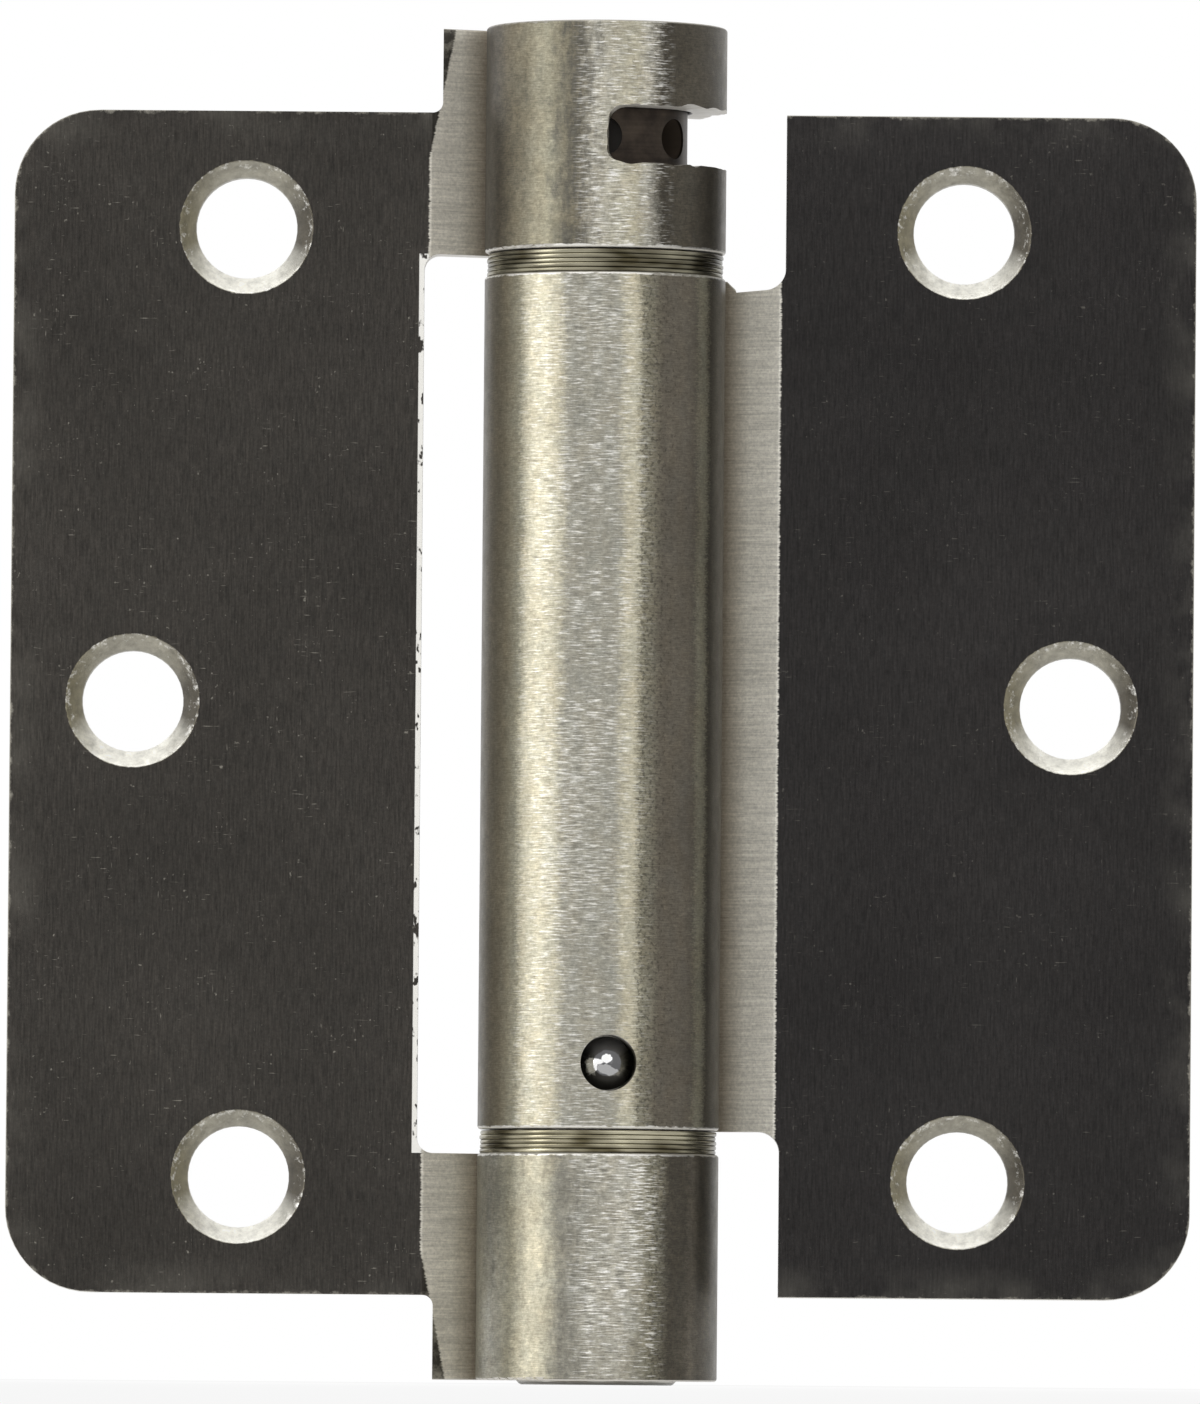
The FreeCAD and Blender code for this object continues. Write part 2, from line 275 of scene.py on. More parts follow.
@dataclass(frozen=True)
class PlainSteel:
    """Plain turned or drawn steel. The eye sees a cloudy, half matt metal with fine rings round it.

    Attributes:
        name: What the real finish is called.
        light: The sRGB colour of its rubbed places.
        dark: The sRGB colour of its dull places.
        roughness: Roughness of the surface.
        inside: The sRGB colour painted in the bores for the light and shade that fall there.
        inside_radius: Radius about the barrel's axis within which a surface is in a bore.
        inside_top: Height above which that no longer holds.
        lathe: Spacing in millimetres of the turning marks, drawn coarser than the real 0.1 mm, to show.
        length: Length in millimetres of the turning marks.
        turned_radius: Radius in millimetres of the turned surface.
        patch: Size in millimetres of the patches between light and dark.
        metallic: Share of bare metal outside the bores, where the rest is dirt and oil.
        mark_depth: How deep the turning marks are, in millimetres.
    """

    name: str
    light: str
    dark: str
    roughness: float
    inside: str = "544a40"
    inside_radius: float = 5.9
    inside_top: float = 45.5
    lathe: float = 0.25
    length: float = 6.0
    turned_radius: float = 6.0
    patch: float = 1.6
    metallic: float = 0.85
    mark_depth: float = 0.01

    def material(self) -> Material:
        """Makes the Blender material.

        Returns:
            A new material on Object coordinates.
        """
        canvas = Canvas(self.name)
        node = canvas.node
        cloud = node("TexNoise", canvas.place, 1 / self.patch, 4.0, 0.6)
        rubbed = node("MapRange", cloud, 0.35, 0.65)
        marks = node("TexNoise", canvas.unrolled(self.length, self.lathe, self.turned_radius), 1.0, 2.0)
        shade = node("MapRange", marks, *NOISE_SPAN, 0.8, 1.2)
        colour = node("Mix", rubbed, linear(self.dark), linear(self.light), data_type="RGBA")
        toned = node("Mix", 1.0, colour, shade, **MULTIPLIED)
        # The bores get their own colour, painted for the light and shade inside them.
        within = node("Math", canvas.radius, self.inside_radius, operation="LESS_THAN")
        below = node("Math", canvas.z, self.inside_top, operation="LESS_THAN")
        deep = node("Math", within, below, operation="MULTIPLY")
        toned = node("Mix", deep, toned, linear(self.inside), data_type="RGBA")
        metallic = node("Mix", deep, self.metallic, 0.0)
        return canvas.finish(metallic, toned, self.roughness, marks, self.mark_depth)


@dataclass(frozen=True)
class RolledNickel:
    """Satin nickel on rolled steel sheet, ground lengthwise before it was bent and brushed crosswise after.

    The eye sees dark plates, pale strips and a pale barrel with glinting brush marks, all painted as
    reflections, shade and highlights, since crosswise marks catch the light from the sides. The bands are
    broad stripes of painted reflection and shade along the barrel: a tone at each of some angles, in degrees
    from the front and growing towards +X, with an even change from one to the next. Lengths are millimetres,
    and colours are sRGB hex.

    Attributes:
        name: What the real finish is called.
        plate: Colour of the plates, a painted dark reflection.
        strip: Colour of the strips, a painted pale reflection.
        top_bands: The bands of painted reflection and shade of a knuckle above mid height.
        low_bands: The bands of painted reflection and shade of a knuckle below it.
        rim: Height of the knuckle's end at the washers, the same above and below mid height.
        soiled: How strongly the knuckles are smudged, from 0 to 1.
        flecked: How strongly the plates are flecked, from 0 to 1.
        glint_strength: How strongly the barrel's brush marks glint with painted highlights, from 0 to 1.
        lit_middle: Angle in degrees of the middle of the painted highlight on the barrel's front, where the
            brush marks glint.
        lit_half: Degrees from there to where they stop.
        flare: How far the plate's painted dark reflection runs in at the outer ends of its tabs.
        burr: Width of the burr along the notch, which carries a painted highlight.
        strip_root: Colour of painted shade on the strips where they run in behind the barrel.
        worn: Colour of metal that is rubbed bare.
        glint: Colour of the painted glints on torn metal and nicks.
        pits_and_shade: Colour of the pits, and of the painted shade beside the glinting brush marks.
        dust: Colour of the smudges.
        sheared: Colour of the sheared edges that face down, a painted reflection of the pale floor.
        bore: Colour inside the barrel, where little light gets.
        sink_sides: Colours of painted light and shade on a countersink where it faces left and right.
        sink_ends: Colours of painted light and shade on a countersink where it faces down and up.
        bare: Shares of bare metal on the strips, the barrel, the plates and the sheared edges.
        roughness: Lowest and highest roughness.
        mark_depth: How deep the brush marks are.
        fade: Where a zone outside a radius starts and ends fading.
        bend_line: Distance from the axis at which the plate ends and the strip starts.
        flare_start: Height at which the plate's painted dark reflection starts to run in.
        flare_end: Height at which it has run in fully.
        notch: Distance from the axis of the leaf's edge beside the barrel.
        knuckle_radius: The barrel's outer radius.
        bore_radius: The barrel's inner radius.
        half_leaf: Half the leaf's height, and the distance of its far edge.
        corner: Radius of the leaf's corners.
        sink_radius: Radius of the countersinks.
        sink_floor: How far back the countersinks reach.
        hole_radius: Radius of the screw holes.
        outer_hole: Distance and height of the outer screw holes.
        middle_hole: Distance and height of the middle one.
        pits_at: Angle in degrees at which the barrel is pitted most.
        smudges_at: Angle in degrees at which it is smudged most.
        gloss_size: Size of the patches between smoother and rougher.
        speckle_size: Size of the plating's specks, drawn larger than the real ones, to show.
        torn_size: Size of the nicks in the countersinks' rims.
        turned_size: Size of the cloudy patches in the countersinks.
        fleck_size: Size of the flecks in the countersinks.
        cloud_size: Size of the broad clouds on the plates.
        sparse_size: Size of the places with few or many flecks on the plates.
        wear_size: Size of the rubbed places along the leaves' borders.
        haze_size: Size of the pale haze along them.
        plate_grain: The lengthwise brush marks.
        strip_grain: The crosswise brush marks.
        barrel_grain: The brush marks round the barrel.
    """

    name: str
    plate: str
    strip: str
    top_bands: Bands
    low_bands: Bands
    rim: float
    soiled: float
    flecked: float
    glint_strength: float
    lit_middle: float
    lit_half: float
    flare: float = 0.0
    burr: float = 0.0
    strip_root: str = "a89e8e"
    worn: str = "9b978c"
    glint: str = "f2f0ea"
    pits_and_shade: str = "35312a"
    dust: str = "56544d"
    sheared: str = "e6e2da"
    bore: str = "2c2822"
    sink_sides: tuple[str, str] = ("59544a", "827c67")
    sink_ends: tuple[str, str] = ("a19d90", "f6f4ea")
    bare: tuple[float, float, float, float] = (0.3, 0.7, 0.8, 0.2)
    roughness: tuple[float, float] = (0.33, 0.43)
    mark_depth: float = 0.006
    fade: tuple[float, float] = (0.05, 0.15)
    bend_line: float = 13.2
    flare_start: float = 41.0
    flare_end: float = 50.8
    notch: float = 13.6
    knuckle_radius: float = 9.05
    bore_radius: float = 6.35
    half_leaf: float = 44.45
    corner: float = 6.35
    sink_radius: float = 5.0
    sink_floor: float = 2.2
    hole_radius: float = 3.8
    outer_hole: tuple[float, float] = (27.0, 35.7)
    middle_hole: tuple[float, float] = (35.25, 0.0)
    pits_at: float = 19.0
    smudges_at: float = -15.0
    gloss_size: float = 1.25
    speckle_size: float = 0.25
    torn_size: float = 0.333
    turned_size: float = 0.77
    fleck_size: float = 0.588
    cloud_size: float = 16.7
    sparse_size: float = 4.0
    wear_size: float = 1.11
    haze_size: float = 4.55
    plate_grain: Grain = Grain(across=0.16, along=1.8, depth=0.42)
    strip_grain: Grain = Grain(across=0.13, along=3.0, depth=0.23)
    barrel_grain: Grain = Grain(across=0.1, along=0.8, depth=0.3)

    def material(self) -> Material:
        """Makes the Blender material.

        Returns:
            A new material on Object coordinates.
        """
        canvas = Canvas(self.name)
        node = canvas.node
        plate = self._plate_zone(canvas)
        barrel, bore = (
            node("MapRange", canvas.radius, radius + self.fade[0], radius + self.fade[1], 1.0, 0.0)
            for radius in (self.knuckle_radius, self.bore_radius)
        )
        grain = self._grain(canvas, plate, barrel)
        colour = self._strip(canvas)
        for zone, coat in ((barrel, self._barrel(canvas)), (plate, self._plate(canvas))):
            colour = node("Mix", zone, colour, coat, data_type="RGBA")
        colour = node("Mix", 1.0, colour, grain, **MULTIPLIED)
        colour = self._rubbed_edges(canvas, colour, plate, barrel)
        cut = self._cut_zone(canvas, plate)
        _, _, turned_z = node("SeparateXYZ", canvas.facing).outputs
        # Sheared edges that face down get a painted reflection of the pale floor.
        down = node("MapRange", turned_z, -0.5, -0.2, 1.0, 0.0)
        sheared = node("Mix", down, linear(self.worn), linear(self.sheared), data_type="RGBA")
        for zone, coat in ((cut, sheared), self._countersinks(canvas), (bore, linear(self.bore))):
            colour = node("Mix", zone, colour, coat, data_type="RGBA")
        metallic, *shares = self.bare
        for zone, share in zip((barrel, plate, cut), shares):
            metallic = node("Mix", zone, metallic, share)
        roughness = canvas.varied(canvas.place, self.gloss_size, *self.roughness, 3.0)
        return canvas.finish(metallic, colour, roughness, grain, self.mark_depth)

    def _plate_zone(self, canvas: Canvas) -> Node:
        """Tells the flat plate from what is past its bend, along a line frayed by the strip's brushing.

        Args:
            canvas: The material.

        Returns:
            1 on the plate and 0 elsewhere.
        """
        node = canvas.node
        ragged = node("TexNoise", canvas.stretched(1.6, 1.6, 0.1), 1.0, 3.0)
        flare = node("MapRange", canvas.height, self.flare_start, self.flare_end, 0.0, self.flare)
        drift = node("Math", ragged, 0.4, flare, operation="MULTIPLY_ADD")
        edge = node("Math", canvas.reach, drift, operation="ADD")
        start = self.bend_line + 0.2
        return node("MapRange", edge, start, start + 0.12)

    def _cut_zone(self, canvas: Canvas, plate: Node) -> Node:
        """Finds the sheared edges of the sheet, which face sideways on the plate, or up or down.

        Args:
            canvas: The material.
            plate: The plates' zone.

        Returns:
            1 on the sheared edges and 0 elsewhere.
        """
        node = canvas.node
        turned = node("VectorMath", canvas.facing, operation="ABSOLUTE")
        turned_x, _, turned_z = node("SeparateXYZ", turned).outputs
        sideways = node("Math", turned_x, plate, operation="MULTIPLY")
        steep = node("Math", sideways, turned_z, operation="MAXIMUM")
        return node("MapRange", steep, 0.45, 0.75)

    def _countersinks(self, canvas: Canvas) -> tuple[Node, Node]:
        """The screw holes' cones, with painted light and shade by the way each part faces, and torn flecks
        with painted glints round their rims.

        Args:
            canvas: The material.

        Returns:
            The cones' zone and their colour.
        """
        node = canvas.node
        quarter = node("CombineXYZ", canvas.reach, canvas.height)
        outer = node("VectorMath", quarter, (*self.outer_hole, 0.0), operation="DISTANCE")
        middle = node("VectorMath", quarter, (*self.middle_hole, 0.0), operation="DISTANCE")
        ring = node("Math", outer, middle, operation="MINIMUM")
        torn = node("TexNoise", canvas.place, 1 / self.torn_size, 2.0)
        frayed = node("Math", torn, 0.16, ring, operation="MULTIPLY_ADD")
        cone = node("MapRange", frayed, self.sink_radius + 0.08, self.sink_radius + 0.14, 1.0, 0.0)
        in_front = node("Math", canvas.y, self.sink_floor, operation="LESS_THAN")
        front_cone = node("Math", cone, in_front, operation="MULTIPLY")
        wall = node("Math", ring, self.hole_radius + self.fade[0], operation="LESS_THAN")
        zone = node("Math", front_cone, wall, operation="MAXIMUM")
        # The cone's colour is painted light and shade: darker where it faces sideways, brightest where it
        # faces up.
        turned_x, _, turned_z = node("SeparateXYZ", canvas.facing).outputs
        leftward = node("MapRange", turned_x, -0.5, 0.5)
        side = node("Mix", leftward, *map(linear, self.sink_sides), data_type="RGBA")
        upward = node("MapRange", turned_z, -0.3, 0.3)
        level = node("Mix", upward, *map(linear, self.sink_ends), data_type="RGBA")
        steep = node("MapRange", node("Math", turned_z, operation="ABSOLUTE"), 0.2, 0.65)
        tone = node("Mix", steep, side, level, data_type="RGBA")
        shade = canvas.varied(canvas.place, self.turned_size, 0.74, 1.26, 4.0, 0.7)
        shaded = node("Mix", 1.0, tone, shade, **MULTIPLIED)
        # Torn flecks near the rim get painted glints.
        fleck = node("TexNoise", canvas.place, 1 / self.fleck_size, 5.0, 0.75)
        near_rim = node("MapRange", ring, self.sink_radius - 1.0, self.sink_radius - 0.2, 0.78, 1.0)
        flecked = node("MapRange", node("Math", fleck, near_rim, operation="MULTIPLY"), 0.52, 0.66, 0.0, 0.9)
        return zone, node("Mix", flecked, shaded, linear(self.glint), data_type="RGBA")

    def _grain(self, canvas: Canvas, plate: Node, barrel: Node) -> Node:
        """The brush marks, lengthwise on the plates and crosswise elsewhere, with the plating's fine specks.

        Args:
            canvas: The material.
            plate: The plates' zone.
            barrel: The barrel's zone.

        Returns:
            A factor about 1, which is the height of the marks too.
        """
        node = canvas.node
        lengthwise, crosswise, round_barrel = self.plate_grain, self.strip_grain, self.barrel_grain
        on_strip, on_barrel, on_plate = (
            canvas.varied(at, 1.0, 1 - grain.depth, 1 + grain.depth, 4.0, 0.7)
            for grain, at in (
                (crosswise, canvas.stretched(crosswise.along, crosswise.along, crosswise.across)),
                (round_barrel, canvas.unrolled(round_barrel.along, round_barrel.across, self.knuckle_radius)),
                (lengthwise, canvas.stretched(lengthwise.across, lengthwise.across, lengthwise.along)),
            )
        )
        specked = canvas.varied(canvas.place, self.speckle_size, 0.8, 1.2, 3.0, 0.8)
        brushed = node("Mix", barrel, on_strip, on_barrel)
        brushed = node("Mix", plate, brushed, on_plate)
        return node("Math", brushed, specked, operation="MULTIPLY")

    def _strip(self, canvas: Canvas) -> Node:
        """The slanted strips' painted pale reflection, with painted shade where they run in behind the
        barrel.

        Args:
            canvas: The material.

        Returns:
            Their colour.
        """
        node = canvas.node
        # Painted shade on the strips next to the barrel, fading into their painted pale reflection.
        root = node("MapRange", canvas.reach, self.knuckle_radius + 0.2, self.knuckle_radius + 1.9)
        tone = canvas.varied(canvas.stretched(9.0, 9.0, 3.0), 1.0, 0.94, 1.06, 3.0)
        colour = node("Mix", root, linear(self.strip_root), linear(self.strip), data_type="RGBA")
        return node("Mix", 1.0, colour, tone, **MULTIPLIED)

    def _barrel(self, canvas: Canvas) -> Node:
        """The barrel's broad bands of painted reflection and shade, frayed by the brushing, with scratches
        that carry painted glints and shade, and dark smudges along them.

        Args:
            canvas: The material.

        Returns:
            The barrel's colour.
        """
        node = canvas.node
        unrolled = partial(canvas.unrolled, radius=self.knuckle_radius)
        share = node("Math", canvas.angle, 1 / math.tau, 0.5, operation="MULTIPLY_ADD")
        # The painted reflection bands wander by a share of a turn: in fine marks, in coarse ones and over the
        # whole barrel.
        for along, across, sway in ((0.3, 0.12, 0.03), (1.0, 0.3, 0.02), (30.0, 9.0, 0.025)):
            fray = node("TexNoise", unrolled(along, across), 1.0, 3.0, 0.6)
            wander = node("Math", fray, sway, -0.5 * sway, operation="MULTIPLY_ADD")
            share = node("Math", share, wander, operation="ADD")
        # Each knuckle's painted reflection and shade bands, as a tone at each angle about the barrel.
        ramps = []
        for bands in (self.low_bands, self.top_bands):
            ramp = node("ValToRGB", share)
            stops = ramp.color_ramp.elements
            while len(stops) < len(bands):
                stops.new(0.5)
            for stop, (degrees, tone) in zip(stops, bands):
                stop.position = degrees / 360 + 0.5
                stop.color = linear(tone.value)
            ramps.append(ramp)
        upper = node("Math", canvas.z, 0.0, operation="GREATER_THAN")
        clouded = node("Mix", upper, *ramps, data_type="RGBA")
        # Cool and warm blots, small mottles and broad patches lie over the bands.
        tint = node("TexNoise", unrolled(1.5, 2.5), 1.0, 2.0)
        warmth = node("Mix", tint, (0.95, 1.0, 1.07, 1.0), (1.05, 1.0, 0.93, 1.0), data_type="RGBA")
        darkest, lightest = 0.86 - 0.2 * self.soiled, 1.12 + 0.1 * self.soiled
        mottled = canvas.varied(unrolled(0.7, 0.7), 1.0, darkest, lightest, 4.0, 0.7)
        patches = node("TexNoise", unrolled(5.0, 8.0), 1.0, 3.0)
        cloudy = node("MapRange", patches, *NOISE_SPAN, 0.9 - 0.2 * self.soiled, 1.1 + 0.1 * self.soiled)
        for shade in (warmth, mottled, cloudy):
            clouded = node("Mix", 1.0, clouded, shade, **MULTIPLIED)
        # Smudges drawn up the barrel, fewer away from their angle and at the lower knuckle.
        streaks = node("TexNoise", unrolled(0.9, 2.2), 1.0, 6.0, 0.75)
        fading = node("MapRange", canvas.degrees_from(self.smudges_at), 2.0, 17.0, 0.0, 0.22)
        soiled = node("Math", streaks, fading, operation="SUBTRACT")
        most = node("Mix", upper, 0.5 * self.soiled, self.soiled)
        soil = node("MapRange", soiled, 0.36, 0.55, 0.0, most)
        smudged = node("Mix", soil, clouded, linear(self.dust), data_type="RGBA")
        # Small pits, which start at their angle and get fewer over the next 45 degrees.
        pits = node("TexNoise", unrolled(0.28, 0.28), 1.0, 2.0)
        past = canvas.degrees_past(self.pits_at)
        before = node("MapRange", past, -6.0, 0.0, 0.26, 0.0)
        beyond = node("MapRange", past, 2.0, 45.0, 0.0, 0.26)
        rarer_pits = node("Math", before, beyond, operation="ADD")
        pitted = node("MapRange", node("Math", pits, rarer_pits, operation="SUBTRACT"), 0.5, 0.6, 0.0, 0.55)
        dotted = node("Mix", pitted, smudged, linear(self.pits_and_shade), data_type="RGBA")
        # Painted highlights on the brush marks, and painted shade beside them, on the front where the light
        # falls.
        nicks = node("TexNoise", unrolled(1.2, 0.12), 1.0, 3.0, 0.6)
        from_lit = canvas.degrees_from(self.lit_middle)
        lit = node("MapRange", from_lit, 0.75 * self.lit_half, 1.3 * self.lit_half, self.glint_strength, 0.0)
        rarer = node("MapRange", patches, 0.35, 0.65, 0.04, -0.03)
        risen = node("MapRange", node("Math", nicks, rarer, operation="SUBTRACT"), 0.53, 0.66)
        sunk = node("MapRange", node("Math", nicks, rarer, operation="ADD"), 0.46, 0.34)
        shadowed = node("Math", node("Math", sunk, lit, operation="MULTIPLY"), 0.5, operation="MULTIPLY")
        # The painted shade beside the brush marks takes the pits' dark colour.
        marked = node("Mix", shadowed, dotted, linear(self.pits_and_shade), data_type="RGBA")
        glinting = node("Math", risen, lit, operation="MULTIPLY")
        return node("Mix", glinting, marked, linear(self.glint), data_type="RGBA")

    def _plate(self, canvas: Canvas) -> Node:
        """The plates' painted dark reflection, cloudy, with a few specks and hairline scratches.

        Args:
            canvas: The material.

        Returns:
            Their colour.
        """
        node = canvas.node
        # The plates' colour is a painted dark reflection, with a broad cloudy tone.
        tone = canvas.varied(canvas.place, self.cloud_size, 0.86, 1.16, 3.0)
        toned = node("Mix", 1.0, linear(self.plate), tone, **MULTIPLIED)
        blots = node("TexNoise", canvas.stretched(0.7, 0.7, 1.6), 1.0, 4.0, 0.7)
        warmth = node("Mix", blots, (0.8, 0.83, 0.85, 1.0), (1.2, 1.17, 1.15, 1.0), data_type="RGBA")
        toned = node("Mix", 1.0, toned, warmth, **MULTIPLIED)
        marked = None
        sparse = node("TexNoise", canvas.place, 1 / self.sparse_size, 2.0)
        rare = node("MapRange", sparse, 0.35, 0.65, 0.1, 0.0)
        # Upright scratches, level ones and round specks.
        for size in ((0.16, 0.16, 1.0), (1.0, 1.0, 0.14), (0.3, 0.3, 0.3)):
            flecks = node("TexNoise", canvas.stretched(*size), 1.0, 1.0)
            kept = node("Math", flecks, rare, operation="SUBTRACT")
            shown = node("MapRange", kept, 0.7, 0.8, 0.0, self.flecked)
            marked = shown if marked is None else node("Math", marked, shown, operation="MAXIMUM")
        return node("Mix", marked, toned, linear(self.worn), data_type="RGBA")

    def _rubbed_edges(
        self, canvas: Canvas, colour: Node, plate: Node, barrel: Node
    ) -> Node:
        """The colour with rubbed borders on the plates, and painted highlights on the knuckles' rims and the
        notch's burr.

        Args:
            canvas: The material.
            colour: The colour so far.
            plate: The plates' zone.
            barrel: The barrel's zone.

        Returns:
            The new colour.
        """
        node = canvas.node
        # The plate's border is as far outside its corners' centres as their radius.
        corner_at = self.half_leaf - self.corner
        from_edge = node("CombineXYZ", canvas.reach, canvas.height)
        past = node("VectorMath", from_edge, (corner_at, corner_at, 0.0), operation="SUBTRACT")
        past = node("VectorMath", past, (0.0, 0.0, 0.0), operation="MAXIMUM")
        out = node("VectorMath", past, operation="LENGTH")
        border = node("MapRange", out, self.corner - 1.0, self.corner)
        patches = node("TexNoise", canvas.place, 1 / self.wear_size, 5.0, 0.75)
        worn = node("Math", border, patches, operation="MULTIPLY")
        worn = node("MapRange", worn, 0.42, 0.6, 0.0, 0.8)
        haze = node("TexNoise", canvas.place, 1 / self.haze_size, 3.0, 0.55)
        hazed = node("MapRange", haze, 0.42, 0.7, 0.0, 0.13)
        near_border = node("MapRange", out, self.corner - 2.8, self.corner - 0.3)
        hazed = node("Math", hazed, near_border, operation="MULTIPLY")
        worn = node("Math", worn, hazed, operation="MAXIMUM")
        worn = node("Math", worn, plate, operation="MULTIPLY")
        colour = node("Mix", worn, colour, linear(self.worn), data_type="RGBA")
        # The knuckle's rim at the washers, with a painted highlight broken in places, less where it turns
        # into the shade.
        gap = node("Math", node("Math", canvas.height, self.rim, operation="SUBTRACT"), operation="ABSOLUTE")
        rim_zone = node("MapRange", gap, 0.15, 0.5, 1.0, 0.0)
        broken = node("TexNoise", canvas.unrolled(1.2, 0.6, self.knuckle_radius), 1.0, 3.0, 0.7)
        bright = node("Math", rim_zone, broken, operation="MULTIPLY")
        bright = node("MapRange", bright, 0.38, 0.5, 0.0, 0.9)
        bright = node("Math", bright, barrel, operation="MULTIPLY")
        in_shade = node("MapRange", canvas.angle, math.radians(15.0), math.radians(40.0), 1.0, 0.35)
        bright = node("Math", bright, in_shade, operation="MULTIPLY")
        colour = node("Mix", bright, colour, linear(self.glint), data_type="RGBA")
        # The burr that the shears turned up along the notch, chipped here and there, with a painted highlight
        # on it.
        burr_end = self.notch + self.burr
        notch_gap = node("MapRange", canvas.reach, burr_end, burr_end + self.fade[0], 1.0, 0.0)
        beside = node("Math", canvas.height, self.rim, operation="LESS_THAN")
        burr = node("Math", notch_gap, beside, operation="MULTIPLY")
        chips = node("TexNoise", canvas.stretched(0.5, 0.5, 0.8), 1.0, 2.0)
        whole = node("MapRange", chips, 0.36, 0.42, 0.0, min(self.burr * 4, 1.0))
        burr = node("Math", burr, whole, operation="MULTIPLY")
        burr = node("Math", burr, plate, operation="MULTIPLY")
        return node("Mix", burr, colour, linear(self.glint), data_type="RGBA")


@dataclass(frozen=True)
class RolledBronze:
    """Thin bronze strip, punched to washers whose rims rub bright and whose grooves hold dirt.

    The eye sees thin yellowish lines with dark ones between them, and painted light that is brightest left of
    the barrel's middle.

    Attributes:
        name: What the real finish is called.
        rim: The sRGB colour of the rubbed rims.
        dull: The sRGB colour of the dull places.
        roughness: Roughness of the surface.
        metallic: Share of bare metal.
        mark: Length and width in millimetres of the punch's marks on a rim.
        mark_depth: How deep they are.
        patch: Length and height in millimetres of the rubbed places.
        rim_radius: The washers' outer radius.
        lit_at: Angle in degrees at which the painted light on the rims is brightest.
        upper_share: How bright the upper stack is beside the lower one, as a factor on the painted light.
    """

    name: str = "rolled phosphor bronze strip"
    rim: str = "c9c3aa"
    dull: str = "5f5841"
    roughness: float = 0.24
    metallic: float = 0.9
    mark: tuple[float, float] = (4.0, 0.08)
    mark_depth: float = 0.004
    patch: tuple[float, float] = (6.0, 1.5)
    rim_radius: float = 8.9
    lit_at: float = -35.0
    upper_share: float = 0.62

    def material(self) -> Material:
        """Makes the Blender material.

        Returns:
            A new material on Object coordinates.
        """
        canvas = Canvas(self.name)
        node = canvas.node
        marks = node("TexNoise", canvas.unrolled(*self.mark, self.rim_radius), 1.0, 3.0)
        patches = node("TexNoise", canvas.unrolled(*self.patch, self.rim_radius), 1.0, 2.0)
        rubbed = node("MapRange", patches, 0.4, 0.62)
        colour = node("Mix", rubbed, linear(self.dull), linear(self.rim), data_type="RGBA")
        shade = node("MapRange", marks, *NOISE_SPAN, 0.7, 1.3)
        toned = node("Mix", 1.0, colour, shade, **MULTIPLIED)
        # Painted light on the rims, brightest at lit_at, scaled down on the upper stack.
        turned = node("Math", canvas.angle, math.radians(-self.lit_at), operation="ADD")
        lit = node("Math", node("Math", turned, operation="COSINE"), 0.35, 0.62, operation="MULTIPLY_ADD")
        upper = node("Math", canvas.z, 0.0, operation="GREATER_THAN")
        lit = node("Math", lit, node("Mix", upper, 1.0, self.upper_share), operation="MULTIPLY")
        toned = node("Mix", 1.0, toned, lit, **MULTIPLIED)
        return canvas.finish(self.metallic, toned, self.roughness, marks, self.mark_depth)


@dataclass(frozen=True)
class PaintedHighlight:
    """A painted highlight on a dome, seen from the front.

    Attributes:
        centre: Its place from the dome's middle, as X and Z.
        half: Half its length and half its height.
        turn: How far it is turned, in degrees.
        shine: How bright it is, from 0 to 1.
    """

    centre: tuple[float, float]
    half: tuple[float, float]
    turn: float
    shine: float


